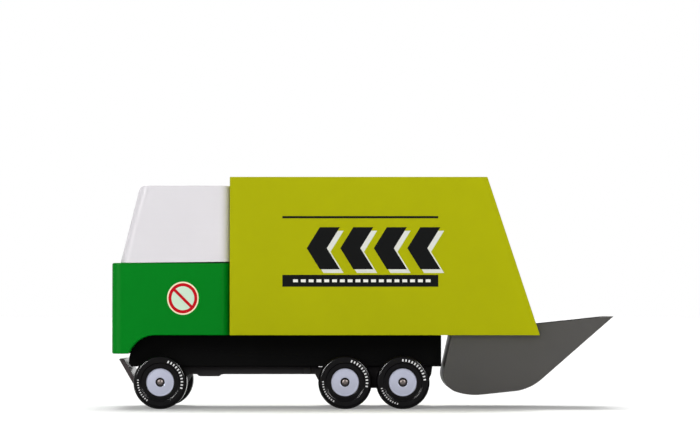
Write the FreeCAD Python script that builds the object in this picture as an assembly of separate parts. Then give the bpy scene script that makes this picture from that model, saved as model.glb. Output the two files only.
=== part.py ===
import FreeCAD, Part
import math
import os

os.makedirs("parts", exist_ok=True)
V = FreeCAD.Vector

# A wooden toy garbage truck with rubber tyres, a plastic undercarriage and a scoop of bent
# sheet steel hinged inside the rear of its container. Millimetres, X forward, Y left, Z up.
# "back" is a distance behind the cab's front face, and heights are above the floor.

# Wheels and axles
tyre_radius = 14.0
tyre_width = 10.0
wheel_track = 66.0
rim_radius = 7.3
rim_recess = 1.1
hub_radius = 3.4
hub_mouth_radius = 2.4
hub_mouth_depth = 1.2
hub_side_play = 0.6
axle_radius = 1.7
axle_play = 0.05
axle_sunk = 0.3

# Chassis block
axle_drop = 8.1
chassis_thickness = 16.5
chassis_tyre_gap = 1.0
chassis_front_back = 8.3
chassis_nose_radius = 14.3
chassis_toe_radius = 2.0
chassis_heel_radius = 0.4
chassis_scoop_gap = 1.7
front_axle_setback = 17.1

# Cab
cab_length = 61.8
cab_width = 76.0
cab_skirt = 9.7
cab_base_height = 37.8
cab_top_height = 40.4
cab_upright_round = 5.5
windscreen_back = 4.3
windscreen_lean = 14.2
roof_front_round = 3.8

# Container
container_width = 80.0
container_top_length = 134.6
container_bottom_length = 161.9
container_height = 82.7
board = 6.0
middle_axle_setback = 60.2
bogie_spacing = 30.2

# Undercarriage
frame_inset = 3.0
frame_wall = 2.5
frame_plate = 2.0
frame_depth = 4.1
bearing_wall = 1.5
bearing_length = 8.0
tray_front_reach = 12.0
tray_rear_reach = 14.6
tray_taper = 4.0
bogie_reach = 15.8
strut_back = 2.8
strut_rise = 4.1
strut_thickness = 2.6
strut_lean = 30.0
strut_tab = 0.8
web_recess = 0.6
rib_gap = 6.0
rib_width = 3.7
sump_gap = 4.0
sump_length = 13.0
sump_drop = 1.1
sump_round = 2.0
slot_height = 1.1
slot_length = 2.6

# Scoop: its rim is the open edge that lies along the container's sloped rear when closed
scoop_clearance = 0.8
scoop_rim = 85.0
scoop_wall = 27.3
scoop_wall_lean = 18.6
scoop_heel_step = 14.4
scoop_depth = 33.6
scoop_lip_angle = 35.1
scoop_wall_round = 9.4
scoop_heel_round = 32.0
scoop_bottom_round = 25.8
scoop_tip_round = 0.15
scoop_rest_angle = 6.0
scoop_sheet = 1.0
scoop_side_thickness = 1.6
scoop_seat_gap = 0.3
scoop_closed_rise = 1.0
scoop_hang_forward = 45.2
scoop_hang_rise = 0.1
ear_radius = 5.0
ear_foot = 20.0
ear_root = 2.0
pin_radius = 1.5
pin_play = 0.05
pin_depth = 3.6
pin_end_gap = 0.4


def outline(corners, place):
    """Closed wire through corners (a, b, radius), each rounded by a tangent arc."""
    count = len(corners)
    points = [place(corner[0], corner[1]) for corner in corners]
    edges = []
    enters = []
    leaves = []
    for i in range(count):
        here = points[i]
        radius = corners[i][2]
        to_last = (points[i - 1] - here).normalize()
        to_next = (points[(i + 1) % count] - here).normalize()
        half = to_last.getAngle(to_next) / 2
        reach = radius / math.tan(half)
        enters.append(here + to_last * reach)
        leaves.append(here + to_next * reach)
        if radius > 0:
            middle = here + (to_last + to_next).normalize() * (radius / math.sin(half) - radius)
            edges.append(Part.Arc(enters[i], middle, leaves[i]).toShape())
    for i in range(count):
        end = enters[(i + 1) % count]
        if leaves[i].distanceToPoint(end) > 1e-6:
            edges.append(Part.LineSegment(leaves[i], end).toShape())
    return Part.Wire(Part.__sortEdges__(edges))


def sawn(corners, low, high):
    """A board or block cut to a side outline of (back, height, radius), from y = low to high."""
    wire = outline(corners, lambda back, height: V(-back, low, height))
    return Part.Face(wire).extrude(V(0, high - low, 0))


def plan(front, rear, height):
    """The cab's rounded outline seen from above, at a height."""
    side = cab_width / 2
    corners = [
        (front, side, cab_upright_round),
        (rear, side, cab_upright_round),
        (rear, -side, cab_upright_round),
        (front, -side, cab_upright_round),
    ]
    return outline(corners, lambda back, y: V(-back, y, height))


def turned(corners):
    """A ring or disc turned about the Y axis from an outline of (radius, y)."""
    points = [V(radius, y, 0) for radius, y in corners]
    profile = Part.Face(Part.makePolygon(points + points[:1]))
    return profile.revolve(V(0, 0, 0), V(0, 1, 0), 360)


def block(back, end, low, high, bottom, top):
    return Part.makeBox(end - back, high - low, top - bottom, V(-end, low, bottom))


def rod(radius, low, high, back, height):
    return Part.makeCylinder(radius, high - low, V(-back, low, height), V(0, 1, 0))


def mirrored(shape):
    return shape.mirror(V(0, 0, 0), V(0, 1, 0))


# Places that several pieces share
axle_height = tyre_radius
tyre_outer = (wheel_track + tyre_width) / 2
tyre_inner = (wheel_track - tyre_width) / 2
chassis_side = tyre_inner - chassis_tyre_gap
chassis_bottom = axle_height + axle_drop
deck_height = chassis_bottom + chassis_thickness
cab_side = cab_width / 2
cab_base_top = deck_height + cab_base_height
cab_roof_height = cab_base_top + cab_top_height
container_side = container_width / 2
container_inner = container_side - board
container_top = deck_height + container_height
container_end_top = cab_length + container_top_length
container_end_bottom = cab_length + container_bottom_length
front_axle_back = chassis_front_back + front_axle_setback
middle_axle_back = cab_length + middle_axle_setback
rear_axle_back = middle_axle_back + bogie_spacing
axle_backs = {"front": front_axle_back, "middle": middle_axle_back, "rear": rear_axle_back}

# The scoop's pivot. Points are complex numbers, back + height * 1j. Its heel is the front end
# of its rim: closed, the rim lies on the container's rear slope, and at rest it hangs lower
# and further forward. The pivot is the one point about which a turn takes one to the other.
rear_slope = complex(container_top_length - container_bottom_length, container_height)
rest = math.radians(scoop_rest_angle)
turn = math.atan2(rear_slope.imag, rear_slope.real) - rest
along_rim = complex(math.cos(rest), math.sin(rest))
below_rim = complex(math.sin(rest), -math.cos(rest))
heel_closed = complex(container_end_bottom, deck_height)
heel_closed += rear_slope / abs(rear_slope) * scoop_closed_rise
heel = heel_closed + complex(-scoop_hang_forward, scoop_hang_rise)
spin = complex(math.cos(turn), math.sin(turn))
pivot = (heel_closed - spin * heel) / (1 - spin)
pivot_along = ((pivot - heel) / along_rim).real
pivot_above = ((pivot - heel) / along_rim).imag


def on_scoop(rows):
    """Corners given along and below the hanging scoop's rim, as (back, height, radius)."""
    corners = []
    for along, down, radius in rows:
        spot = heel + along_rim * along + below_rim * down
        corners.append((spot.real, spot.imag, radius))
    return corners


def scoop_outline(inset):
    """The scoop's side outline, set in from its outer faces but not from its open rim."""
    lean = math.radians(scoop_wall_lean)
    lip = math.radians(scoop_lip_angle)
    bend = math.atan2(scoop_depth - scoop_wall, scoop_heel_step)
    wall_shift = inset / math.cos(lean)
    heel_shift = inset / math.sin(bend)
    lip_shift = inset / math.sin(lip)
    wall_end = -scoop_wall * math.tan(lean)
    # where the inset front wall meets the inset heel, and the heel meets the inset bottom
    spread = heel_shift - wall_shift
    drop = spread / (math.tan(lean) + 1 / math.tan(bend))
    depth = scoop_depth - inset
    return on_scoop([
        (wall_shift, 0.0, 0.0),
        (wall_end + wall_shift + drop * math.tan(lean), scoop_wall - drop, scoop_wall_round - inset),
        (
            wall_end + heel_shift + (depth - scoop_wall) / math.tan(bend),
            depth,
            scoop_heel_round - inset,
        ),
        (scoop_rim - lip_shift - depth / math.tan(lip), depth, scoop_bottom_round - inset),
        (scoop_rim - lip_shift, 0.0, scoop_tip_round),
    ])


scoop_side = container_inner - scoop_clearance
plate_inner = scoop_side - scoop_side_thickness


def scoop_front(low, high):
    """How far back the hanging scoop's wall starts, between two heights."""
    slab = block(0, 2 * container_end_bottom, -1, 1, low, high)
    return -sawn(scoop_outline(0), -1, 1).common(slab).BoundBox.XMax


# The hanging scoop rests on the rear end of the container's floor, clear of the chassis block.
chassis_rear_back = scoop_front(chassis_bottom, deck_height) - chassis_scoop_gap
floor_rear_back = scoop_front(deck_height, deck_height + board) - scoop_seat_gap

parts = {}

# Chassis block: one length of wood whose nose is rounded to the cab's arch.
chassis_corners = [
    (chassis_front_back, chassis_bottom, chassis_toe_radius),
    (chassis_front_back, deck_height, chassis_nose_radius),
    (chassis_rear_back, deck_height, 0.0),
    (chassis_rear_back, chassis_bottom, chassis_heel_radius),
]
parts["chassis_block"] = sawn(chassis_corners, -chassis_side, chassis_side)

# Cab base: a block with rounded upright edges, sawn out below to sit on the chassis.
base = Part.Face(plan(0, cab_length, deck_height - cab_skirt))
base = base.extrude(V(0, 0, cab_skirt + cab_base_height))
parts["cab_base"] = base.cut(sawn(chassis_corners, -cab_side, cab_side))

# Cab top: the windscreen leans back between rounded corners, and its upper edge is rounded
# into the roof. A leaning block is trimmed by an upright one for the upright rear edges.
screen_angle = math.radians(windscreen_lean)
screen_run = cab_top_height * math.tan(screen_angle)
screen_foot = V(-windscreen_back, 0, cab_base_top)
up_screen = V(-math.sin(screen_angle), 0, math.cos(screen_angle))
leaning = Part.Face(plan(windscreen_back, 2 * cab_length, cab_base_top))
leaning.rotate(screen_foot, V(0, 1, 0), -windscreen_lean)
leaning = leaning.extrude(up_screen * 2 * cab_top_height)
uprights = Part.Face(plan(-cab_length, cab_length, cab_base_top))
uprights = uprights.extrude(V(0, 0, cab_top_height))
cab_profile = [
    (windscreen_back, cab_base_top, 0.0),
    (windscreen_back + screen_run, cab_roof_height, roof_front_round),
    (cab_length, cab_roof_height, 0.0),
    (cab_length, cab_base_top, 0.0),
]
cab_top = leaning.common(uprights)
parts["cab_top"] = cab_top.common(sawn(cab_profile, -cab_side, cab_side))

# Container: two side boards, with the front wall, roof and floor between them. The sides have
# blind holes for the scoop's pins.
side_corners = [
    (cab_length, deck_height, 0.0),
    (cab_length, container_top, 0.0),
    (container_end_top, container_top, 0.0),
    (container_end_bottom, deck_height, 0.0),
]
pin_end = container_inner + pin_depth
pin_hole = rod(pin_radius + pin_play, container_inner, pin_end + pin_end_gap, pivot.real, pivot.imag)
side = sawn(side_corners, container_inner, container_side).cut(pin_hole)
front_wall_end = cab_length + board
roof_bottom = container_top - board
roof_overhang = board * (container_bottom_length - container_top_length) / container_height
roof_corners = [
    (front_wall_end, roof_bottom, 0.0),
    (front_wall_end, container_top, 0.0),
    (container_end_top, container_top, 0.0),
    (container_end_top + roof_overhang, roof_bottom, 0.0),
]
inner = container_inner
parts["container_side_left"] = side
parts["container_side_right"] = mirrored(side)
parts["container_roof"] = sawn(roof_corners, -inner, inner)
parts["container_front"] = block(cab_length, front_wall_end, -inner, inner, deck_height, container_top)
parts["container_floor"] = block(
    front_wall_end, floor_rear_back, -inner, inner, deck_height, deck_height + board
)

# Undercarriage: one plastic moulding, open below, with a tray round the front axle, a longer
# one round the two rear axles, and a slanted strut under the cab's nose.
frame_side = chassis_side - frame_inset
frame_bottom = chassis_bottom - frame_depth
bearing_reach = axle_radius + axle_play + bearing_wall
tray_bottom = axle_height - bearing_reach
tray_front = front_axle_back - tray_front_reach
tray_rear = front_axle_back + tray_rear_reach
bogie_front = middle_axle_back - bogie_reach
bogie_rear = rear_axle_back + bogie_reach
strut_top = chassis_bottom + strut_rise
strut_slope = math.tan(math.radians(strut_lean))
strut_rear_back = strut_back + strut_thickness
strut_foot = tray_bottom + strut_thickness
strut_crotch = strut_foot + 0.5
sump_front = tray_rear + sump_gap
sump_rear = sump_front + sump_length
rib_front = bogie_front - rib_gap
frame = sawn([
    (strut_back, strut_top, 0.4),
    (strut_back + (strut_top - strut_foot) * strut_slope, strut_foot, 1.5),
    (tray_front + 1.0, tray_bottom, 1.0),
    (tray_rear - tray_taper, tray_bottom, 2.5),
    (tray_rear, frame_bottom, 0.5),
    (sump_front, frame_bottom, 0.0),
    (sump_front + sump_drop, frame_bottom - sump_drop, sump_round),
    (sump_rear - sump_drop, frame_bottom - sump_drop, sump_round),
    (sump_rear, frame_bottom, 0.0),
    (bogie_front, frame_bottom, 0.5),
    (bogie_front + tray_taper, tray_bottom, 2.5),
    (bogie_rear - tray_taper, tray_bottom, 2.5),
    (bogie_rear - 0.6, frame_bottom, 0.5),
    (bogie_rear, chassis_bottom, 0.0),
    (tray_front, chassis_bottom, 0.0),
    (tray_front, strut_crotch, 0.0),
    (strut_rear_back + (strut_top - strut_crotch) * strut_slope, strut_crotch, 0.0),
    (strut_rear_back, strut_top, 0.4),
], -frame_side, frame_side)

# A thin tab behind the strut, across to the toe of the chassis block
tab_top = chassis_bottom + strut_tab
frame = frame.fuse(
    block(strut_rear_back, chassis_front_back, -frame_side, frame_side, chassis_bottom, tab_top)
)

# The hollows under the plate
bay_side = frame_side - frame_wall
bay_top = chassis_bottom - frame_plate
bay_open = tray_bottom - 1.0
bays = [
    (tray_front + frame_wall, tray_rear - frame_wall, 0.0, tray_taper),
    (tray_rear + frame_wall, bogie_front - frame_wall, 0.0, 0.0),
    (bogie_front + frame_wall, bogie_rear - frame_wall, tray_taper, tray_taper),
]
for start, end, front_taper, rear_taper in bays:
    frame = frame.cut(sawn([
        (start, bay_top, 0.0),
        (start + front_taper, bay_open, 0.0),
        (end - rear_taper, bay_open, 0.0),
        (end, bay_top, 0.0),
    ], -bay_side, bay_side))

# Shallow side recesses that leave an upright rib, and a small slot under the chassis
recesses = [(tray_rear, rib_front), (rib_front + rib_width, bogie_front)]
for start, end in recesses:
    for low in (-frame_side, frame_side - web_recess):
        frame = frame.cut(block(start, end, low, low + web_recess, tray_bottom, chassis_bottom))
slot_back = bogie_front + frame_wall / 2
slot_bottom = chassis_bottom - slot_height
frame = frame.cut(
    block(slot_back, slot_back + slot_length, -frame_side, frame_side, slot_bottom, chassis_bottom)
)

# Bearing blocks for the axles
for back in axle_backs.values():
    start = back - bearing_reach
    end = back + bearing_reach
    for low in (-frame_side, frame_side - bearing_length):
        frame = frame.fuse(block(start, end, low, low + bearing_length, tray_bottom, bay_top))
for back in axle_backs.values():
    frame = frame.cut(rod(axle_radius + axle_play, -frame_side, frame_side, back, axle_height))
parts["undercarriage"] = frame.removeSplitter()

# Wheels: a rubber tyre on a plastic rim, two of them pressed on a steel axle that turns in
# the undercarriage.
tyre = turned([
    (rim_radius, tyre_inner),
    (rim_radius, tyre_outer),
    (tyre_radius, tyre_outer),
    (tyre_radius, tyre_inner),
])
rim_face = tyre_outer - rim_recess
mouth = rim_face - hub_mouth_depth
hub_inner = frame_side + hub_side_play
rim = turned([
    (axle_radius, mouth),
    (hub_mouth_radius, mouth),
    (hub_mouth_radius, rim_face),
    (rim_radius, rim_face),
    (rim_radius, tyre_inner),
    (hub_radius, tyre_inner),
    (hub_radius, hub_inner),
    (axle_radius, hub_inner),
])
axle_end = rim_face - axle_sunk
axle = rod(axle_radius, -axle_end, axle_end, 0, 0)
for place, back in axle_backs.items():
    spot = V(-back, 0, axle_height)
    for name, piece in (("tyre", tyre), ("rim", rim)):
        parts[name + "_" + place + "_left"] = piece.translated(spot)
        parts[name + "_" + place + "_right"] = mirrored(piece).translated(spot)
    parts["axle_" + place] = axle.translated(spot)

# Scoop: a bent sheet round two side plates, whose ears reach up to the pins.
pan = sawn(scoop_outline(0), -scoop_side, scoop_side)
parts["scoop_pan"] = pan.cut(sawn(scoop_outline(scoop_sheet), -scoop_side, scoop_side))
ear = sawn(on_scoop([
    (pivot_along - ear_foot, ear_root, 0.0),
    (pivot_along - ear_foot, 0.0, 0.0),
    (pivot_along - ear_radius, -pivot_above, 0.0),
    (pivot_along + ear_radius, -pivot_above, 0.0),
    (pivot_along + ear_foot, 0.0, 0.0),
    (pivot_along + ear_foot, ear_root, 0.0),
]), plate_inner, scoop_side)
plate = sawn(scoop_outline(scoop_sheet), plate_inner, scoop_side).fuse(ear)
plate = plate.fuse(rod(ear_radius, plate_inner, scoop_side, pivot.real, pivot.imag))
plate = plate.cut(rod(pin_radius, plate_inner, scoop_side, pivot.real, pivot.imag))
plate = plate.removeSplitter()
pin = rod(pin_radius, plate_inner, pin_end, pivot.real, pivot.imag)
parts["scoop_side_left"] = plate
parts["scoop_side_right"] = mirrored(plate)
parts["scoop_pin_left"] = pin
parts["scoop_pin_right"] = mirrored(pin)

# The origin is on the floor under the middle of the truck's whole length.
front_x = -parts["scoop_pan"].BoundBox.XMin / 2
for node, shape in parts.items():
    placed = shape.translated(V(front_x, 0, 0))
    placed.exportStep("parts/" + node + ".step")

print("front face at x", round(front_x, 4))
print("scoop pivot at x", round(front_x - pivot.real, 4), "z", round(pivot.imag, 4))
print("turn to the closed place in degrees", round(math.degrees(turn), 2))
print("chassis ends", round(chassis_rear_back, 3), "behind the cab's front")
for node, shape in parts.items():
    print(node, len(shape.Solids), shape.isValid(), round(shape.Volume, 1))
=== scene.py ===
import math
import bmesh
import bpy
from mathutils import Matrix, Vector


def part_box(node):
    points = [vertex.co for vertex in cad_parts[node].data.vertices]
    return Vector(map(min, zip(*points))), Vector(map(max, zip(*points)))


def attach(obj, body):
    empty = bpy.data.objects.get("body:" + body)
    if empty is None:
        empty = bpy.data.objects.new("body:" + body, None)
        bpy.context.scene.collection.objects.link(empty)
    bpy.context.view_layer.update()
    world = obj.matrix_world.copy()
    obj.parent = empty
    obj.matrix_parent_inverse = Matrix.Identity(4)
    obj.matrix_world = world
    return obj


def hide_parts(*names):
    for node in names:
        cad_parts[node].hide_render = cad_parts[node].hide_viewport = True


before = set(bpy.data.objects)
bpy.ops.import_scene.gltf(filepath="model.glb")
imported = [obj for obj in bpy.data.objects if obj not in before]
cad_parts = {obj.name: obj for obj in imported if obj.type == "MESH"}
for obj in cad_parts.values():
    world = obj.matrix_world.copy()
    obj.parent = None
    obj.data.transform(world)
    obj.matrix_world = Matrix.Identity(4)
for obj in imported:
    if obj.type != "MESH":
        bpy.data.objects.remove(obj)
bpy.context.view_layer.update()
mm = 0.001

# View: the picture was taken with a long lens from the truck's left, from about the height of
# its chassis and aimed slightly upwards, so that the truck stands low in the frame.
photo_width = 700
focal_pixels = 3100.5
horizon_below_centre_pixels = 94
eye_back = 124.6 * mm
eye_distance = 1658 * mm
eye_height = 50.2 * mm
front_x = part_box("cab_base")[1].x
lens = bpy.data.cameras.new("long_lens")
lens.sensor_width = 36
lens.lens = lens.sensor_width * focal_pixels / photo_width
lens.clip_end = 60  # metres, past the floor's far edge
camera = bpy.data.objects.new("camera", lens)
camera.location = (front_x - eye_back, eye_distance, eye_height)
aim_up = math.atan(horizon_below_centre_pixels / focal_pixels)
camera.rotation_euler = (math.pi / 2 + aim_up, 0, math.pi)
bpy.context.scene.collection.objects.link(camera)
bpy.context.scene.camera = camera
bpy.context.scene.view_settings.view_transform = "Standard"


# Chassis block: one length of wood, sawn with a rounded nose, its edges eased with sandpaper,
# and sprayed satin black. The grain still shows a little through the paint.
def linear(hex_colour, share=1.0):
    """An sRGB hex colour as linear red, green, blue and alpha, lightened or darkened by a share."""
    values = [int(hex_colour[i:i + 2], 16) / 255 for i in (0, 2, 4)]
    values = [v / 12.92 if v <= 0.04045 else ((v + 0.055) / 1.055) ** 2.4 for v in values]
    return [v * share for v in values] + [1.0]


def add(tree, kind, links=None, **settings):
    """One node with its settings, and its sockets by name or number as values or links."""
    node = tree.nodes.new(kind)
    for name, value in settings.items():
        setattr(node, name, value)
    for socket, value in (links or {}).items():
        if isinstance(value, bpy.types.NodeSocket):
            tree.links.new(value, node.inputs[socket])
        else:
            node.inputs[socket].default_value = value
    return node


def spaced(size):
    """The scale of a texture whose features lie about so many millimetres apart."""
    return 1 / (size * mm)


def new_finish(name):
    """An empty material, with its node tree."""
    material = bpy.data.materials.new(name)
    material.use_nodes = True
    material.node_tree.nodes.clear()
    return material, material.node_tree


def painted_wood(name, colour, roughness, shine=0.022):
    """Satin lacquer sprayed on sanded wood: its material, tree, shader and plain paint colour."""
    # to the eye: an even colour with a low soft sheen, in which the grain only just shows
    material, tree = new_finish(name)
    place = add(tree, "ShaderNodeTexCoord").outputs["Object"]
    # grain runs along the truck: streaks 0.8 mm across and 40 mm long, telegraphed by the paint
    along = add(tree, "ShaderNodeMapping", {
        "Vector": place, "Scale": (spaced(40), spaced(0.833), spaced(0.833)),
    })
    grain = add(tree, "ShaderNodeTexNoise", {
        "Vector": along.outputs[0], "Scale": 1.0, "Detail": 3.0,
    })
    # spray texture: soft dimples
    spray = add(tree, "ShaderNodeTexNoise", {"Vector": place, "Scale": spaced(1.54), "Detail": 1.0})
    # the coat is a little thicker and thinner over a few centimetres
    coat = add(tree, "ShaderNodeTexNoise", {"Vector": place, "Scale": spaced(35.7), "Detail": 2.0})
    paint = add(tree, "ShaderNodeMix", {
        0: coat.outputs["Fac"], 6: linear(colour, 0.95), 7: linear(colour, 1.05),
    }, data_type="RGBA").outputs[2]
    gloss = add(tree, "ShaderNodeMapRange", {
        "Value": grain.outputs["Fac"], "To Min": roughness - 0.05, "To Max": roughness + 0.06,
    })
    dimples = add(tree, "ShaderNodeBump", {
        "Height": spray.outputs["Fac"], "Strength": 0.12, "Distance": 0.02 * mm,
    })
    relief = add(tree, "ShaderNodeBump", {
        "Height": grain.outputs["Fac"], "Normal": dimples.outputs[0],
        "Strength": 0.25, "Distance": 0.03 * mm,
    })
    shader = add(tree, "ShaderNodeBsdfPrincipled", {
        "Base Color": paint, "Roughness": gloss.outputs[0], "Normal": relief.outputs[0],
        "IOR": 1.5, "Specular IOR Level": shine,
    })
    add(tree, "ShaderNodeOutputMaterial", {"Surface": shader.outputs[0]})
    return material, tree, shader, paint


weld_distance = 0.002 * mm
same_plane = math.radians(0.6)
sharp_from = math.radians(20)


def eased(node, width, segments=3, clamp=False):
    """A copy of a solid's mesh with whole flat faces, and its sharp edges rounded over."""
    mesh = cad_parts[node].data.copy()
    shape = bmesh.new()
    shape.from_mesh(mesh)
    bmesh.ops.remove_doubles(shape, verts=shape.verts, dist=weld_distance)
    bmesh.ops.dissolve_limit(shape, angle_limit=same_plane, verts=shape.verts, edges=shape.edges)
    shape.to_mesh(mesh)
    shape.free()
    mesh.materials.clear()
    mesh.shade_smooth()
    blank = bpy.data.objects.new("blank", mesh)
    bpy.context.scene.collection.objects.link(blank)
    rounding = blank.modifiers.new("eased edges", "BEVEL")
    rounding.width = width
    rounding.segments = segments
    rounding.limit_method = "ANGLE"
    rounding.angle_limit = sharp_from
    rounding.use_clamp_overlap = clamp
    blank.modifiers.new("flat faces stay flat", "WEIGHTED_NORMAL")
    ready = blank.evaluated_get(bpy.context.evaluated_depsgraph_get())
    made = bpy.data.meshes.new_from_object(ready)
    bpy.data.objects.remove(blank)
    return made


def fit(name, mesh, material, body, slot, *nodes):
    """Puts a finished mesh on the truck as a piece that stands for the given solids."""
    mesh.materials.clear()
    mesh.materials.append(material)
    piece = bpy.data.objects.new(name, mesh)
    bpy.context.scene.collection.objects.link(piece)
    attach(piece, body)
    if nodes:
        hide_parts(*nodes)


black_paint = painted_wood("satin_black_lacquer", "040404", roughness=0.5)[0]
chassis_wood = eased("chassis_block", width=0.5 * mm)
fit("chassis_wood", chassis_wood, black_paint, "truck", "black_paint", "chassis_block")


# Cab base: a solid block of wood with routed upright corners, sawn out below to sit on the
# chassis, sprayed green. Each side has a small round sign, and the front two plain lamps, all
# printed flat on the paint. The lamps are a guess, as the front doesn't show.
green_paint, tree, shader, paint = painted_wood("satin_green_lacquer", "007c1c", roughness=0.42)
# prints are laid out in millimetres, back from the cab's front and up from the floor
sign_back = 37.3
sign_height = 57.9
sign_width = 16.5
sign_tall = 17.3
ring_outer = 7.9
ring_inner = 6.25
bar_half = 0.75
sign_green = linear("cde4cd")
sign_red = linear("c0101e")
sign_cream = linear("f3e6c4")
side_from = 37.6  # millimetres out from the middle, past which the sign prints
front_skin = 0.3  # millimetres behind the front face, up to which the lamps print
place = add(tree, "ShaderNodeTexCoord").outputs["Object"]
from_sign = add(tree, "ShaderNodeMapping", {
    "Vector": place, "Scale": (1 / mm,) * 3,
    "Location": (sign_back - front_x / mm, 0, -sign_height),
})
sign = add(tree, "ShaderNodeSeparateXYZ", {0: from_sign.outputs[0]})
spread = add(tree, "ShaderNodeMath", {
    0: sign.outputs["X"], 1: sign_tall / sign_width,
}, operation="MULTIPLY")
flat = add(tree, "ShaderNodeCombineXYZ", {"X": spread.outputs[0], "Z": sign.outputs["Z"]})
radius = add(tree, "ShaderNodeVectorMath", {
    0: flat.outputs[0],
}, operation="LENGTH").outputs["Value"]
field = add(tree, "ShaderNodeMath", {0: radius, 1: ring_inner}, operation="LESS_THAN")
ring = add(tree, "ShaderNodeMath", {0: radius, 1: ring_outer}, operation="LESS_THAN")
disc = add(tree, "ShaderNodeMath", {0: radius, 1: sign_tall / 2}, operation="LESS_THAN")
slant = add(tree, "ShaderNodeMath", {
    0: sign.outputs["X"], 1: sign.outputs["Z"],
}, operation="SUBTRACT")
bar = add(tree, "ShaderNodeMath", {
    0: slant.outputs[0], 1: 0.0, 2: bar_half * math.sqrt(2),
}, operation="COMPARE")
field_colour = add(tree, "ShaderNodeMix", {
    0: bar.outputs[0], 6: sign_green, 7: sign_red,
}, data_type="RGBA")
ring_colour = add(tree, "ShaderNodeMix", {
    0: field.outputs[0], 6: sign_red, 7: field_colour.outputs[2],
}, data_type="RGBA")
disc_colour = add(tree, "ShaderNodeMix", {
    0: ring.outputs[0], 6: sign_cream, 7: ring_colour.outputs[2],
}, data_type="RGBA")
across = add(tree, "ShaderNodeMath", {0: sign.outputs["Y"]}, operation="ABSOLUTE")
on_side = add(tree, "ShaderNodeMath", {
    0: across.outputs[0], 1: side_from,
}, operation="GREATER_THAN")
sign_here = add(tree, "ShaderNodeMath", {
    0: disc.outputs[0], 1: on_side.outputs[0],
}, operation="MULTIPLY")
signed = add(tree, "ShaderNodeMix", {
    0: sign_here.outputs[0], 6: paint, 7: disc_colour.outputs[2],
}, data_type="RGBA")
lamp_across = 24.0
lamp_height = 49.0
lamp_radius = 4.6
lamp_rim = 3.9
lamp_side = add(tree, "ShaderNodeMath", {
    0: across.outputs[0], 1: lamp_across,
}, operation="SUBTRACT")
lamp_up = add(tree, "ShaderNodeMath", {
    0: sign.outputs["Z"], 1: lamp_height - sign_height,
}, operation="SUBTRACT")
from_lamp = add(tree, "ShaderNodeCombineXYZ", {"X": lamp_side.outputs[0], "Y": lamp_up.outputs[0]})
lamp_reach = add(tree, "ShaderNodeVectorMath", {
    0: from_lamp.outputs[0],
}, operation="LENGTH").outputs["Value"]
glass = add(tree, "ShaderNodeMath", {0: lamp_reach, 1: lamp_rim}, operation="LESS_THAN")
lamp_colour = add(tree, "ShaderNodeMix", {
    0: glass.outputs[0], 6: linear("16181a"), 7: linear("f1efe4"),
}, data_type="RGBA")
lamp = add(tree, "ShaderNodeMath", {0: lamp_reach, 1: lamp_radius}, operation="LESS_THAN")
on_front = add(tree, "ShaderNodeMath", {
    0: sign.outputs["X"], 1: sign_back - front_skin,
}, operation="GREATER_THAN")
lamp_here = add(tree, "ShaderNodeMath", {
    0: lamp.outputs[0], 1: on_front.outputs[0],
}, operation="MULTIPLY")
printed = add(tree, "ShaderNodeMix", {
    0: lamp_here.outputs[0], 6: signed.outputs[2], 7: lamp_colour.outputs[2],
}, data_type="RGBA")
tree.links.new(printed.outputs[2], shader.inputs["Base Color"])
cab_base_wood = eased("cab_base", width=0.8 * mm)
fit("cab_base_wood", cab_base_wood, green_paint, "truck", "green_paint", "cab_base")


# Cab top: a second block with a leaning front and routed corners, sprayed white and glued on
# the base, where its rear stands off a hair and leaves a dark seam. The windscreen is a panel
# of gloss black paint on the front face, a guess, as the front doesn't show.
white_paint, tree, shader, paint = painted_wood(
    "satin_white_lacquer", "dedbdf", roughness=0.26, shine=0.045
)
top_low, top_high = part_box("cab_top")
screen_lean = math.radians(14.2)
screen_middle = (top_high.z - top_low.z) * 0.5 / math.cos(screen_lean) / mm
screen_half_width = 28.5
screen_half_height = 14.5
screen_round = 3.5
screen_skin = 0.4  # millimetres behind the leaning face, up to which the panel prints
place = add(tree, "ShaderNodeTexCoord").outputs["Object"]
to_sill = add(tree, "ShaderNodeMapping", {
    "Vector": place, "Scale": (1 / mm,) * 3,
    "Location": (-top_high.x / mm, 0, -top_low.z / mm),
})
on_screen = add(tree, "ShaderNodeMapping", {
    "Vector": to_sill.outputs[0], "Rotation": (0, screen_lean, 0),
})
screen = add(tree, "ShaderNodeSeparateXYZ", {0: on_screen.outputs[0]})
across = add(tree, "ShaderNodeMath", {0: screen.outputs["Y"]}, operation="ABSOLUTE")
up = add(tree, "ShaderNodeMath", {
    0: screen.outputs["Z"], 1: screen_middle,
}, operation="SUBTRACT")
rise = add(tree, "ShaderNodeMath", {0: up.outputs[0]}, operation="ABSOLUTE")
corner_across = add(tree, "ShaderNodeMath", {
    0: across.outputs[0], 1: screen_half_width - screen_round,
}, operation="SUBTRACT")
corner_up = add(tree, "ShaderNodeMath", {
    0: rise.outputs[0], 1: screen_half_height - screen_round,
}, operation="SUBTRACT")
past_across = add(tree, "ShaderNodeMath", {
    0: corner_across.outputs[0], 1: 0.0,
}, operation="MAXIMUM")
past_up = add(tree, "ShaderNodeMath", {
    0: corner_up.outputs[0], 1: 0.0,
}, operation="MAXIMUM")
corner = add(tree, "ShaderNodeCombineXYZ", {"X": past_across.outputs[0], "Y": past_up.outputs[0]})
reach = add(tree, "ShaderNodeVectorMath", {
    0: corner.outputs[0],
}, operation="LENGTH").outputs["Value"]
panel = add(tree, "ShaderNodeMath", {0: reach, 1: screen_round}, operation="LESS_THAN")
in_front = add(tree, "ShaderNodeMath", {
    0: screen.outputs["X"], 1: -screen_skin,
}, operation="GREATER_THAN")
panel_here = add(tree, "ShaderNodeMath", {
    0: panel.outputs[0], 1: in_front.outputs[0],
}, operation="MULTIPLY")
glazed = add(tree, "ShaderNodeMix", {
    0: panel_here.outputs[0], 6: paint, 7: linear("15181b"),
}, data_type="RGBA")
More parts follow.
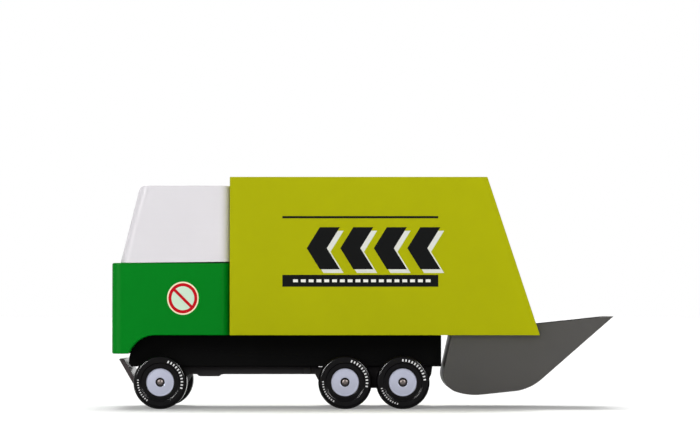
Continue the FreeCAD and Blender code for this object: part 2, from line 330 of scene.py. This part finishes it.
tree.links.new(glazed.outputs[2], shader.inputs["Base Color"])
seam_rise = 0.6 * mm
seam_start = 0.3  # share of the block's length where the seam starts to open
seam_fade = 3 * mm
cab_top = eased("cab_top", width=0.45 * mm)
for vertex in cab_top.vertices:
    share_back = (top_high.x - vertex.co.x) / (top_high.x - top_low.x)
    opening = seam_rise * max(0.0, share_back - seam_start) / (1 - seam_start)
    above = vertex.co.z - top_low.z
    if above < seam_fade:
        vertex.co.z += opening * (1 - above / seam_fade)
fit("cab_top_wood", cab_top, white_paint, "truck", "white_paint", "cab_top")


# Container: five boards glued into a box that is open at its sloped rear, sprayed lime. Both
# sides are screen-printed in black and pale grey: a row of forward chevrons between two bands.
lime_paint, tree, shader, paint = painted_wood("satin_lime_lacquer", "a9ab00", roughness=0.65)
print_back = 130.0
print_height = 84.0
chevron_pitch = 17.5
chevron_thick = 10.5
chevron_half_height = 11.0
chevron_slope = 0.62
chevron_count = 4
shade_shift = 1.9
band_half_width = 40.7
band_low = -17.0
band_half_height = 3.1
stripe_high = 16.2
stripe_half_height = 0.6
dash_pitch = 4.07
dash_share = 0.62
dash_half_height = 0.75
row_trim = 0.01  # keeps a sliver of a next chevron out of the row
outside_from = 39.6  # millimetres out from the middle, past which the print lies
black_ink = "0f1010"
shade_ink = "d9dad0"
dash_ink = "ecece4"
place = add(tree, "ShaderNodeTexCoord").outputs["Object"]
from_print = add(tree, "ShaderNodeMapping", {
    "Vector": place, "Scale": (1 / mm,) * 3,
    "Location": (print_back - front_x / mm, 0, -print_height),
})
spot = add(tree, "ShaderNodeSeparateXYZ", {0: from_print.outputs[0]})


def bar_mask(tree, along, up, middle, half_length, height, half_height):
    """1 inside an upright rectangle of the print."""
    wide = add(tree, "ShaderNodeMath", {0: along, 1: middle, 2: half_length}, operation="COMPARE")
    tall = add(tree, "ShaderNodeMath", {0: up, 1: height, 2: half_height}, operation="COMPARE")
    both = add(tree, "ShaderNodeMath", {
        0: wide.outputs[0], 1: tall.outputs[0],
    }, operation="MULTIPLY")
    return both.outputs[0]


def chevron_mask(tree, along, up, shift):
    """1 inside a row of chevrons that point forward, moved back and down by a shift."""
    here = add(tree, "ShaderNodeMath", {0: along, 1: shift}, operation="ADD").outputs[0]
    high = add(tree, "ShaderNodeMath", {0: up, 1: shift}, operation="ADD").outputs[0]
    off_axis = add(tree, "ShaderNodeMath", {0: high}, operation="ABSOLUTE").outputs[0]
    folded = add(tree, "ShaderNodeMath", {
        0: off_axis, 1: chevron_slope, 2: here,
    }, operation="MULTIPLY_ADD").outputs[0]
    step = add(tree, "ShaderNodeMath", {
        0: folded, 1: chevron_pitch,
    }, operation="FLOORED_MODULO").outputs[0]
    stroke = add(tree, "ShaderNodeMath", {
        0: step, 1: chevron_thick,
    }, operation="LESS_THAN").outputs[0]
    row_half = chevron_pitch * chevron_count / 2 - row_trim
    row = bar_mask(tree, folded, high, 0.0, row_half, 0.0, chevron_half_height)
    return add(tree, "ShaderNodeMath", {0: stroke, 1: row}, operation="MULTIPLY").outputs[0]


along = spot.outputs["X"]
up = spot.outputs["Z"]
across = add(tree, "ShaderNodeMath", {0: spot.outputs["Y"]}, operation="ABSOLUTE")
outside = add(tree, "ShaderNodeMath", {
    0: across.outputs[0], 1: outside_from,
}, operation="GREATER_THAN").outputs[0]
shade = chevron_mask(tree, along, up, shade_shift)
black_shapes = [
    chevron_mask(tree, along, up, 0.0),
    bar_mask(tree, along, up, 0.0, band_half_width, band_low, band_half_height),
    bar_mask(tree, along, up, 0.0, band_half_width, stripe_high, stripe_half_height),
]
dash_step = add(tree, "ShaderNodeMath", {0: along, 1: dash_pitch}, operation="FLOORED_MODULO")
dash_on = add(tree, "ShaderNodeMath", {
    0: dash_step.outputs[0], 1: dash_pitch * dash_share,
}, operation="LESS_THAN")
dash_row = bar_mask(
    tree, along, up, 0.0, band_half_width - dash_pitch, band_low, dash_half_height
)
dashes = add(tree, "ShaderNodeMath", {
    0: dash_on.outputs[0], 1: dash_row,
}, operation="MULTIPLY").outputs[0]
layers = [(shade, shade_ink)] + [(shape, black_ink) for shape in black_shapes]
layers.append((dashes, dash_ink))
for mask, ink in layers:
    printed = add(tree, "ShaderNodeMath", {0: mask, 1: outside}, operation="MULTIPLY")
    paint = add(tree, "ShaderNodeMix", {
        0: printed.outputs[0], 6: paint, 7: linear(ink),
    }, data_type="RGBA").outputs[2]
tree.links.new(paint, shader.inputs["Base Color"])
for part in ("side_left", "side_right", "roof", "front", "floor"):
    node = "container_" + part
    fit(node + "_board", eased(node, width=0.35 * mm), lime_paint, "truck", "lime_paint", node)


# Undercarriage: one black plastic moulding, open below and screwed to the chassis from below.
# The mould was spark-eroded, which leaves a fine even grain that looks matt.
black_plastic, tree = new_finish("moulded_black_plastic")
place = add(tree, "ShaderNodeTexCoord").outputs["Object"]
# the real grain is about 0.1 mm, drawn coarser so that it shows
sparks = add(tree, "ShaderNodeTexNoise", {"Vector": place, "Scale": spaced(0.357), "Detail": 2.0})
# the plastic set in faint clouds as it flowed into the mould
flow = add(tree, "ShaderNodeTexNoise", {"Vector": place, "Scale": spaced(16.7), "Detail": 3.0})
tone = add(tree, "ShaderNodeMix", {
    0: flow.outputs["Fac"], 6: linear("171617"), 7: linear("211f20"),
}, data_type="RGBA")
# the strut under the nose is a lighter grey in noisy patches
patched_back = 16.0
at_nose = add(tree, "ShaderNodeMath", {
    0: add(tree, "ShaderNodeSeparateXYZ", {0: place}).outputs["X"], 1: front_x - patched_back * mm,
}, operation="GREATER_THAN")
nose_patches = add(tree, "ShaderNodeTexNoise", {"Vector": place, "Scale": spaced(2), "Detail": 4.0})
lighter_at_nose = add(tree, "ShaderNodeMath", {
    0: at_nose.outputs[0], 1: nose_patches.outputs["Fac"],
}, operation="MULTIPLY")
tone = add(tree, "ShaderNodeMix", {
    0: lighter_at_nose.outputs[0], 6: tone.outputs[2], 7: linear("665c5e"),
}, data_type="RGBA")
# it is glossier there, and matt elsewhere
sheen = add(tree, "ShaderNodeMapRange", {
    "Value": at_nose.outputs[0], "To Min": 0.8, "To Max": 0.14,
})
grain = add(tree, "ShaderNodeBump", {
    "Height": sparks.outputs["Fac"], "Strength": 0.4, "Distance": 0.03 * mm,
})
shader = add(tree, "ShaderNodeBsdfPrincipled", {
    "Base Color": tone.outputs[2], "Roughness": sheen.outputs[0], "Normal": grain.outputs[0],
    "IOR": 1.5, "Specular IOR Level": 0.1,
})
add(tree, "ShaderNodeOutputMaterial", {"Surface": shader.outputs[0]})
moulding = eased("undercarriage", width=0.2 * mm, segments=2)
fit("undercarriage_moulding", moulding, black_plastic, "truck", "black_plastic", "undercarriage")


# Chassis screws: pan-head steel screws with a cross recess hold the moulding to the wood. They
# stand in a row along its middle and show only from below. How many there are is a guess.
def rounded(corners, steps=5):
    """Points (radius, along) of an outline whose corners (radius, along, rounding) turn as arcs."""
    points = []
    for i, (radius, along, rounding) in enumerate(corners):
        here = Vector((radius, along))
        to_last = (Vector(corners[i - 1][:2]) - here).normalized()
        to_next = (Vector(corners[(i + 1) % len(corners)][:2]) - here).normalized()
        if rounding == 0:
            points.append(here)
            continue
        half = to_last.angle(to_next) / 2
        centre = here + (to_last + to_next).normalized() * rounding / math.sin(half)
        start = here + to_last * rounding / math.tan(half) - centre
        end = here + to_next * rounding / math.tan(half) - centre
        for step in range(steps + 1):
            points.append(centre + start.lerp(end, step / steps).normalized() * rounding)
    return points


crease_from = math.radians(38)


def turned(name, corners, segments):
    """A closed shape turned about the Y axis, from an outline in millimetres."""
    shape = bmesh.new()
    ring = [shape.verts.new((p.x * mm, p.y * mm, 0)) for p in rounded(corners)]
    pairs = list(zip(ring, ring[1:]))
    if corners[0][0] > 0:
        pairs.append((ring[-1], ring[0]))  # an outline that isn't closed by the axis
    edges = [shape.edges.new(pair) for pair in pairs]
    bmesh.ops.spin(
        shape, geom=ring + edges, cent=(0, 0, 0), axis=(0, 1, 0), dvec=(0, 0, 0),
        angle=2 * math.pi, steps=segments, use_merge=True, use_duplicate=False,
    )
    bmesh.ops.remove_doubles(shape, verts=shape.verts, dist=0.001 * mm)
    bmesh.ops.recalc_face_normals(shape, faces=shape.faces)
    mesh = bpy.data.meshes.new(name)
    shape.to_mesh(mesh)
    shape.free()
    mesh.shade_smooth()
    mesh.set_sharp_from_angle(angle=crease_from)
    return mesh


def grown(name, tree, values):
    """The mesh that a Geometry Nodes tree makes from named inputs, with its instances realized."""
    bed = bpy.data.objects.new(name, bpy.data.meshes.new(name))
    bpy.context.scene.collection.objects.link(bed)
    growth = bed.modifiers.new(name, "NODES")
    growth.node_group = tree
    sockets = {s.name: s.identifier for s in tree.interface.items_tree if s.in_out == "INPUT"}
    for label, value in values.items():
        growth[sockets[label]] = value
    ready = bed.evaluated_get(bpy.context.evaluated_depsgraph_get())
    mesh = bpy.data.meshes.new_from_object(ready)
    bpy.data.objects.remove(bed)
    return mesh


def new_growth(name, inputs):
    """A Geometry Nodes tree with named inputs, and its input node."""
    tree = bpy.data.node_groups.new(name, "GeometryNodeTree")
    for label, kind in inputs:
        tree.interface.new_socket(label, in_out="INPUT", socket_type="NodeSocket" + kind)
    tree.interface.new_socket("Geometry", in_out="OUTPUT", socket_type="NodeSocketGeometry")
    return tree, tree.nodes.new("NodeGroupInput").outputs


def brushed_steel(name, colour, roughness):
    """Drawn or turned steel: fine marks make its shine a little soft and uneven."""
    material, tree = new_finish(name)
    place = add(tree, "ShaderNodeTexCoord").outputs["Object"]
    # tool marks are a few hundredths of a millimetre, drawn coarser so that they show
    marks = add(tree, "ShaderNodeTexNoise", {
        "Vector": place, "Scale": spaced(0.333), "Detail": 3.0,
    })
    rough = add(tree, "ShaderNodeMapRange", {
        "Value": marks.outputs["Fac"], "To Min": roughness - 0.1, "To Max": roughness + 0.1,
    })
    scratches = add(tree, "ShaderNodeBump", {
        "Height": marks.outputs["Fac"], "Strength": 0.3, "Distance": 0.01 * mm,
    })
    shader = add(tree, "ShaderNodeBsdfPrincipled", {
        "Base Color": linear(colour), "Metallic": 1.0,
        "Roughness": rough.outputs[0], "Normal": scratches.outputs[0],
    })
    add(tree, "ShaderNodeOutputMaterial", {"Surface": shader.outputs[0]})
    return material


screw_steel = brushed_steel("zinc_plated_steel", "b9b8b2", roughness=0.35)
screw_radius = 2.3
screw_rise = 1.2
edge_rise = 0.5 * screw_rise
flat_radius = 0.6 * screw_radius
recess_length = 2.4
recess_width = 0.5
plate_below_chassis = 2.0
plate_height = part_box("chassis_block")[0].z / mm - plate_below_chassis
screw_head = turned("screw_head", [
    (0, 0, 0), (screw_radius, 0, 0.1), (screw_radius, -edge_rise, 0.5),
    (flat_radius, -screw_rise, 0.4), (0, -screw_rise, 0),
], segments=32)
cutter = bmesh.new()
for length, width in ((recess_length, recess_width), (recess_width, recess_length)):
    size = Matrix.Diagonal((length * mm, screw_rise * mm, width * mm, 1))
    at_top = Matrix.Translation((0, -screw_rise * mm, 0))
    bmesh.ops.create_cube(cutter, size=1, matrix=at_top @ size)
cross = bpy.data.meshes.new("cross")
cutter.to_mesh(cross)
cutter.free()
cross_object = bpy.data.objects.new("cross", cross)
head_object = bpy.data.objects.new("head", screw_head)
for made in (cross_object, head_object):
    bpy.context.scene.collection.objects.link(made)
recess = head_object.modifiers.new("recess", "BOOLEAN")
recess.object = cross_object
recess.operation = "DIFFERENCE"
recess.use_self = True
tree, given = new_growth("screw_row", [
    ("Screw", "Object"), ("Count", "Int"), ("First", "Vector"), ("Step", "Vector"),
    ("Finish", "Material"),
])
row = add(tree, "GeometryNodeMeshLine", {
    "Count": given["Count"], "Start Location": given["First"], "Offset": given["Step"],
}, mode="OFFSET")
screw = add(tree, "GeometryNodeObjectInfo", {"Object": given["Screw"]})
stand = add(tree, "GeometryNodeTransform", {
    "Geometry": screw.outputs["Geometry"], "Rotation": (math.pi / 2, 0, 0),
})
screws = add(tree, "GeometryNodeInstanceOnPoints", {
    "Points": row.outputs[0], "Instance": stand.outputs[0],
})
real = add(tree, "GeometryNodeRealizeInstances", {0: screws.outputs[0]})
set_finish = add(tree, "GeometryNodeSetMaterial", {
    "Geometry": real.outputs[0], "Material": given["Finish"],
})
add(tree, "NodeGroupOutput", {"Geometry": set_finish.outputs[0]})
screw_count = 2
screw_first_back = 56.0
screw_spacing = 36.0
screw_row = grown("screws", tree, {
    "Screw": head_object, "Count": screw_count,
    "First": (front_x - screw_first_back * mm, 0, plate_height * mm),
    "Step": (-screw_spacing * mm, 0, 0), "Finish": screw_steel,
})
bpy.data.objects.remove(head_object)
bpy.data.objects.remove(cross_object)
fit("chassis_screws", screw_row, screw_steel, "truck", "steel")


# Wheels: a rubber tyre with a raised ring on its side is stretched over a silver plastic rim,
# and two of them are pressed on a turned steel axle. A black ring sunk in each rim's mouth is
# painted shade for the deep gap round the axle. Two arcs of short white ticks are printed on
# each tyre's side.

# moulded rubber: near black, with a low sheen that its ring and shoulder catch as thin glints
rubber, tree = new_finish("moulded_rubber")
place = add(tree, "ShaderNodeTexCoord").outputs["Object"]
bloom = add(tree, "ShaderNodeTexNoise", {"Vector": place, "Scale": spaced(5.56), "Detail": 4.0})
pores = add(tree, "ShaderNodeTexNoise", {"Vector": place, "Scale": spaced(0.4), "Detail": 2.0})
tone = add(tree, "ShaderNodeMix", {
    0: bloom.outputs["Fac"], 6: linear("080709"), 7: linear("0f0d0f"),
}, data_type="RGBA")
sheen = add(tree, "ShaderNodeMapRange", {
    "Value": bloom.outputs["Fac"], "To Min": 0.15, "To Max": 0.22,
})
skin = add(tree, "ShaderNodeBump", {
    "Height": pores.outputs["Fac"], "Strength": 0.2, "Distance": 0.02 * mm,
})
shader = add(tree, "ShaderNodeBsdfPrincipled", {
    "Base Color": tone.outputs[2], "Roughness": sheen.outputs[0], "Normal": skin.outputs[0],
    "IOR": 1.52, "Specular IOR Level": 0.08,
})
add(tree, "ShaderNodeOutputMaterial", {"Surface": shader.outputs[0]})

# plastic filled with fine silver flake, moulded satin: it glows pale and mirrors nothing
silver_plastic, tree = new_finish("silver_filled_plastic")
place = add(tree, "ShaderNodeTexCoord").outputs["Object"]
# real flakes are under 0.1 mm, drawn coarser so that they show
flakes = add(tree, "ShaderNodeTexVoronoi", {"Vector": place, "Scale": spaced(0.222)})
sparkle = add(tree, "ShaderNodeMapRange", {
    "Value": flakes.outputs["Distance"], "To Min": 0.4, "To Max": 0.5,
})
flow = add(tree, "ShaderNodeTexNoise", {"Vector": place, "Scale": spaced(6.67), "Detail": 2.0})
tone = add(tree, "ShaderNodeMix", {
    0: flow.outputs["Fac"], 6: linear("a9acbd"), 7: linear("b2b4c6"),
}, data_type="RGBA")
shader = add(tree, "ShaderNodeBsdfPrincipled", {
    "Base Color": tone.outputs[2], "Metallic": 0.2, "Roughness": sparkle.outputs[0],
    "Specular IOR Level": 0.1,
})
add(tree, "ShaderNodeOutputMaterial", {"Surface": shader.outputs[0]})

# white ink pressed on with a pad: flat white, a little thin in places
white_print, tree = new_finish("white_tyre_print")
place = add(tree, "ShaderNodeTexCoord").outputs["Object"]
thin = add(tree, "ShaderNodeTexNoise", {"Vector": place, "Scale": spaced(0.667), "Detail": 2.0})
tone = add(tree, "ShaderNodeMix", {
    0: thin.outputs["Fac"], 6: linear("d2d2d4"), 7: linear("f4f4f4"),
}, data_type="RGBA")
shader = add(tree, "ShaderNodeBsdfPrincipled", {"Base Color": tone.outputs[2], "Roughness": 0.5})
add(tree, "ShaderNodeOutputMaterial", {"Surface": shader.outputs[0]})

axle_steel = brushed_steel("turned_steel", "514b49", roughness=0.45)

tyre_low, tyre_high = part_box("tyre_front_left")
tyre_radius = (tyre_high.z - tyre_low.z) / 2 / mm
tyre_outer = tyre_high.y / mm
tyre_inner = tyre_low.y / mm
rim_radius = (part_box("rim_front_left")[1].z - tyre_radius * mm) / mm
rim_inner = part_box("rim_front_left")[0].y / mm
rim_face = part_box("rim_front_left")[1].y / mm
axle_radius = (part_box("axle_front")[1].z - tyre_radius * mm) / mm
axle_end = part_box("axle_front")[1].y / mm
step_radius = 10.2
ring_edge = 12.8
# outlines have a radius, a place along the axle and a rounding for each corner
tyre_outline = [
    (rim_radius, tyre_inner, 0.3),
    (rim_radius, tyre_outer - 1.0, 0.25),
    (rim_radius + 0.8, tyre_outer - 0.8, 0.4),
    (step_radius - 0.35, tyre_outer - 1.0, 0.3),
    (step_radius, tyre_outer - 0.25, 0.6),
    (ring_edge, tyre_outer, 1.2),
    (tyre_radius, tyre_outer - 1.5, 1.0),
    (tyre_radius, tyre_inner + 1.2, 1.0),
    (ring_edge, tyre_inner, 0.8),
]
mouth_radius = 2.4
mouth_depth = 3.0
lip_radius = 6.5
rim_outline = [
    (axle_radius, rim_inner, 0),
    (axle_radius, rim_face - mouth_depth, 0),
    (mouth_radius, rim_face - mouth_depth, 0.1),
    (mouth_radius, rim_face - 0.05, 0.25),
    (lip_radius, rim_face - 0.4, 0.5),
    (rim_radius, rim_face - 0.25, 0.3),
    (rim_radius, tyre_inner, 0.2),
    (2 * axle_radius, tyre_inner, 0.3),
    (2 * axle_radius, rim_inner, 0.2),
]
# painted shade: a black ring sunk in the rim's mouth round the axle, darkening the deep gap there
shade_ring_outline = [
    (axle_radius, rim_face - mouth_depth, 0), (axle_radius, rim_face - 1.1, 0.1),
    (mouth_radius, rim_face - 0.9, 0.1), (mouth_radius, rim_face - mouth_depth, 0),
]
tip_radius = 0.6 * axle_radius
tip_length = 0.6
axle_outline = [
    (0, -axle_end, 0), (tip_radius, -axle_end, 0.4), (axle_radius, -axle_end + tip_length, 0.3),
    (axle_radius, axle_end - tip_length, 0.3), (tip_radius, axle_end, 0.4), (0, axle_end, 0),
]

tree, given = new_growth("tyre_marks", [
    ("Radius", "Float"), ("Start", "Float"), ("Sweep", "Float"), ("Count", "Int"),
    ("Size", "Vector"), ("Face", "Float"), ("Finish", "Material"),
])
arc = add(tree, "GeometryNodeCurveArc", {
    "Resolution": given["Count"], "Radius": given["Radius"],
    "Start Angle": given["Start"], "Sweep Angle": given["Sweep"],
})
spots = add(tree, "GeometryNodeCurveToPoints", {"Curve": arc.outputs[0]}, mode="EVALUATED")
aim = add(tree, "FunctionNodeAlignRotationToVector", {"Vector": spots.outputs["Tangent"]}, axis="X")
mark = add(tree, "GeometryNodeMeshCube", {"Size": given["Size"]})
marks = add(tree, "GeometryNodeInstanceOnPoints", {
    "Points": spots.outputs["Points"], "Instance": mark.outputs[0], "Rotation": aim.outputs[0],
})
outward = add(tree, "ShaderNodeCombineXYZ", {"Y": given["Face"]})
upright = add(tree, "GeometryNodeTransform", {
    "Geometry": marks.outputs[0], "Rotation": (-math.pi / 2, 0, 0),
    "Translation": outward.outputs[0],
})
real = add(tree, "GeometryNodeRealizeInstances", {0: upright.outputs[0]})
set_finish = add(tree, "GeometryNodeSetMaterial", {
    "Geometry": real.outputs[0], "Material": given["Finish"],
})
add(tree, "NodeGroupOutput", {"Geometry": set_finish.outputs[0]})
mark_radius = 11.5
mark_thickness = 0.16
mark_sunk = 0.1
# each arc's start and sweep in degrees, its number of ticks, and a tick's length and width
mark_arcs = [("long", 165, 83, 11, (0.7, 1.25)), ("short", -6, 60, 10, (0.5, 0.8))]
# how far each pair has rolled, in degrees, as it stands
wheel_roll = {"front": 0, "middle": 4.5, "rear": 22}
half_turn = Matrix.Rotation(math.pi, 4, "Z")
for axle_name, roll in wheel_roll.items():
    body = "wheels_" + axle_name
    axle_low, axle_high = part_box("axle_" + axle_name)
    centre = Matrix.Translation(((axle_low.x + axle_high.x) / 2, 0, (axle_low.z + axle_high.z) / 2))
    rolled = centre @ Matrix.Rotation(math.radians(roll), 4, "Y")
    axle = turned("axle", axle_outline, segments=40)
    axle.transform(rolled)
    fit("axle_" + axle_name + "_rod", axle, axle_steel, body, "steel", "axle_" + axle_name)
    for side, turn in (("left", Matrix.Identity(4)), ("right", half_turn)):
        name = axle_name + "_" + side
        tyre = turned("tyre", tyre_outline, segments=128)
        rim = turned("rim", rim_outline, segments=96)
        shade_ring = turned("shade_ring", shade_ring_outline, segments=40)
        for mesh in (tyre, rim, shade_ring):
            mesh.transform(rolled @ turn)
        fit("tyre_" + name + "_rubber", tyre, rubber, body, "tyre_rubber", "tyre_" + name)
        fit("rim_" + name + "_plastic", rim, silver_plastic, body, "silver_plastic", "rim_" + name)
        # the black ring of painted shade in the rim's mouth
        fit("rim_" + name + "_bush", shade_ring, black_plastic, body, "black_plastic")
        for arc_name, start, sweep, count, (length, width) in mark_arcs:
            tyre_marks = grown("marks", tree, {
                "Radius": mark_radius * mm, "Start": math.radians(start),
                "Sweep": math.radians(sweep), "Count": count,
                "Size": (length * mm, width * mm, mark_thickness * mm),
                "Face": (tyre_outer - mark_sunk) * mm, "Finish": white_print,
            })
            tyre_marks.transform(rolled @ turn)
            fit("tyre_" + name + "_marks_" + arc_name, tyre_marks, white_print, body, "tyre_rubber")


# Scoop: sheet steel bent round two side plates and powder-coated dark grey, hinged on two steel
# pins. The coat is even and nearly matt, and mirrors the surround only at a grazing look.
grey_steel, tree = new_finish("grey_powder_coated_steel")
place = add(tree, "ShaderNodeTexCoord").outputs["Object"]
# powder flows into soft bumps as it is baked, and lies a little thicker and thinner in clouds
orange_peel = add(tree, "ShaderNodeTexNoise", {
    "Vector": place, "Scale": spaced(0.455), "Detail": 2.0,
})
cloud = add(tree, "ShaderNodeTexNoise", {"Vector": place, "Scale": spaced(25), "Detail": 3.0})
tone = add(tree, "ShaderNodeMix", {
    0: cloud.outputs["Fac"], 6: linear("504f4d"), 7: linear("575553"),
}, data_type="RGBA")
peel = add(tree, "ShaderNodeBump", {
    "Height": orange_peel.outputs["Fac"], "Strength": 0.25, "Distance": 0.02 * mm,
})
shader = add(tree, "ShaderNodeBsdfPrincipled", {
    "Base Color": tone.outputs[2], "Roughness": 0.4, "Normal": peel.outputs[0], "IOR": 1.5,
    "Specular IOR Level": 0.05,
})
add(tree, "ShaderNodeOutputMaterial", {"Surface": shader.outputs[0]})
scoop_sheet = eased("scoop_pan", width=0.15 * mm, segments=2, clamp=True)
fit("scoop_sheet", scoop_sheet, grey_steel, "scoop", "grey_steel", "scoop_pan")
for side in ("left", "right"):
    node = "scoop_side_" + side
    plate = eased(node, width=0.06 * mm, segments=2)
    fit(node + "_plate", plate, grey_steel, "scoop", "grey_steel", node)
    node = "scoop_pin_" + side
    fit(node + "_rod", eased(node, width=0.15 * mm), axle_steel, "scoop", "steel", node)


# Studio: a pale floor in a white surround, with soft light from above and from the camera's side,
# and a tall softbox on each side of the camera, which only draws thin glints along rounded edges
# and tyres. The camera, gloss and glass see the surround as white.
world = bpy.data.worlds.new("white_surround")
bpy.context.scene.world = world
world.use_nodes = True
tree = world.node_tree
tree.nodes.clear()
surround_light = 0.42


def seen_by_eye(tree):
    """1 for the rays that the camera sees, straight, mirrored or through glass, and 0 for light."""
    ray = add(tree, "ShaderNodeLightPath").outputs
    mirrored = add(tree, "ShaderNodeMath", {
        0: ray["Is Glossy Ray"], 1: ray["Is Transmission Ray"],
    }, operation="MAXIMUM")
    seen = add(tree, "ShaderNodeMath", {
        0: ray["Is Camera Ray"], 1: mirrored.outputs[0],
    }, operation="MAXIMUM")
    return seen.outputs[0]


lit = add(tree, "ShaderNodeBackground", {"Color": linear("ffffff"), "Strength": surround_light})
white = add(tree, "ShaderNodeBackground", {"Color": linear("ffffff"), "Strength": 1.0})
surround = add(tree, "ShaderNodeMixShader", {
    0: seen_by_eye(tree), 1: lit.outputs[0], 2: white.outputs[0],
})
add(tree, "ShaderNodeOutputWorld", {"Surface": surround.outputs[0]})

pale_floor, tree = new_finish("pale_floor_paper")
place = add(tree, "ShaderNodeTexCoord").outputs["Object"]
fibre = add(tree, "ShaderNodeTexNoise", {"Vector": place, "Scale": spaced(1.11)})
tone = add(tree, "ShaderNodeMix", {
    0: fibre.outputs["Fac"], 6: linear("f5f5f5"), 7: linear("f9f9f9"),
}, data_type="RGBA")
paper = add(tree, "ShaderNodeBsdfDiffuse", {"Color": tone.outputs[2]})
# about a fifth of what the eye sees of it is the white light table below, which thins the shadow
table_share = 0.22
shining = add(tree, "ShaderNodeMath", {
    0: seen_by_eye(tree), 1: table_share,
}, operation="MULTIPLY")
table = add(tree, "ShaderNodeEmission", {"Color": linear("ffffff"), "Strength": 1.0})
surface = add(tree, "ShaderNodeMixShader", {
    0: shining.outputs[0], 1: paper.outputs[0], 2: table.outputs[0],
})
add(tree, "ShaderNodeOutputMaterial", {"Surface": surface.outputs[0]})
floor_reach = 30.0
ground = bmesh.new()
bmesh.ops.create_grid(ground, x_segments=1, y_segments=1, size=floor_reach)
floor_mesh = bpy.data.meshes.new("floor")
ground.to_mesh(floor_mesh)
ground.free()
floor_mesh.materials.append(pale_floor)
floor = bpy.data.objects.new("floor", floor_mesh)
bpy.context.scene.collection.objects.link(floor)


def far_lamp(name, toward, strength, width):
    """A soft lamp so far off that it lights the floor evenly, and that nothing mirrors.

    toward points from the truck to it, and width is how wide it looks from there in degrees.
    """
    lamp = bpy.data.lights.new(name, "SUN")
    lamp.energy = strength
    lamp.angle = math.radians(width)
    stand = bpy.data.objects.new(name, lamp)
    stand.rotation_euler = Vector(toward).to_track_quat("Z", "Y").to_euler()
    stand.visible_glossy = False
    bpy.context.scene.collection.objects.link(stand)


softbox_width = 0.15
softbox_height = 0.8
softbox_distance = 1.5


def tall_softbox(name, toward, power):
    """A tall narrow softbox that only draws glints. toward points from the truck to it."""
    lamp = bpy.data.lights.new(name, "AREA")
    lamp.shape = "RECTANGLE"
    lamp.size = softbox_width
    lamp.size_y = softbox_height
    lamp.energy = power
    stand = bpy.data.objects.new(name, lamp)
    stand.location = Vector(toward).normalized() * softbox_distance
    stand.rotation_euler = Vector(toward).to_track_quat("Z", "Y").to_euler()
    stand.visible_diffuse = False
    stand.visible_camera = False
    bpy.context.scene.collection.objects.link(stand)


far_lamp("top_lamp", toward=(0.0, -0.38, 0.92), strength=2.6, width=30)
far_lamp("front_lamp", toward=(0.2, 0.95, 0.22), strength=0.92, width=24)
tall_softbox("softbox_towards_cab", toward=(0.673, 0.545, 0.5), power=90)
tall_softbox("softbox_towards_scoop", toward=(-0.66, 0.53, 0.53), power=70)
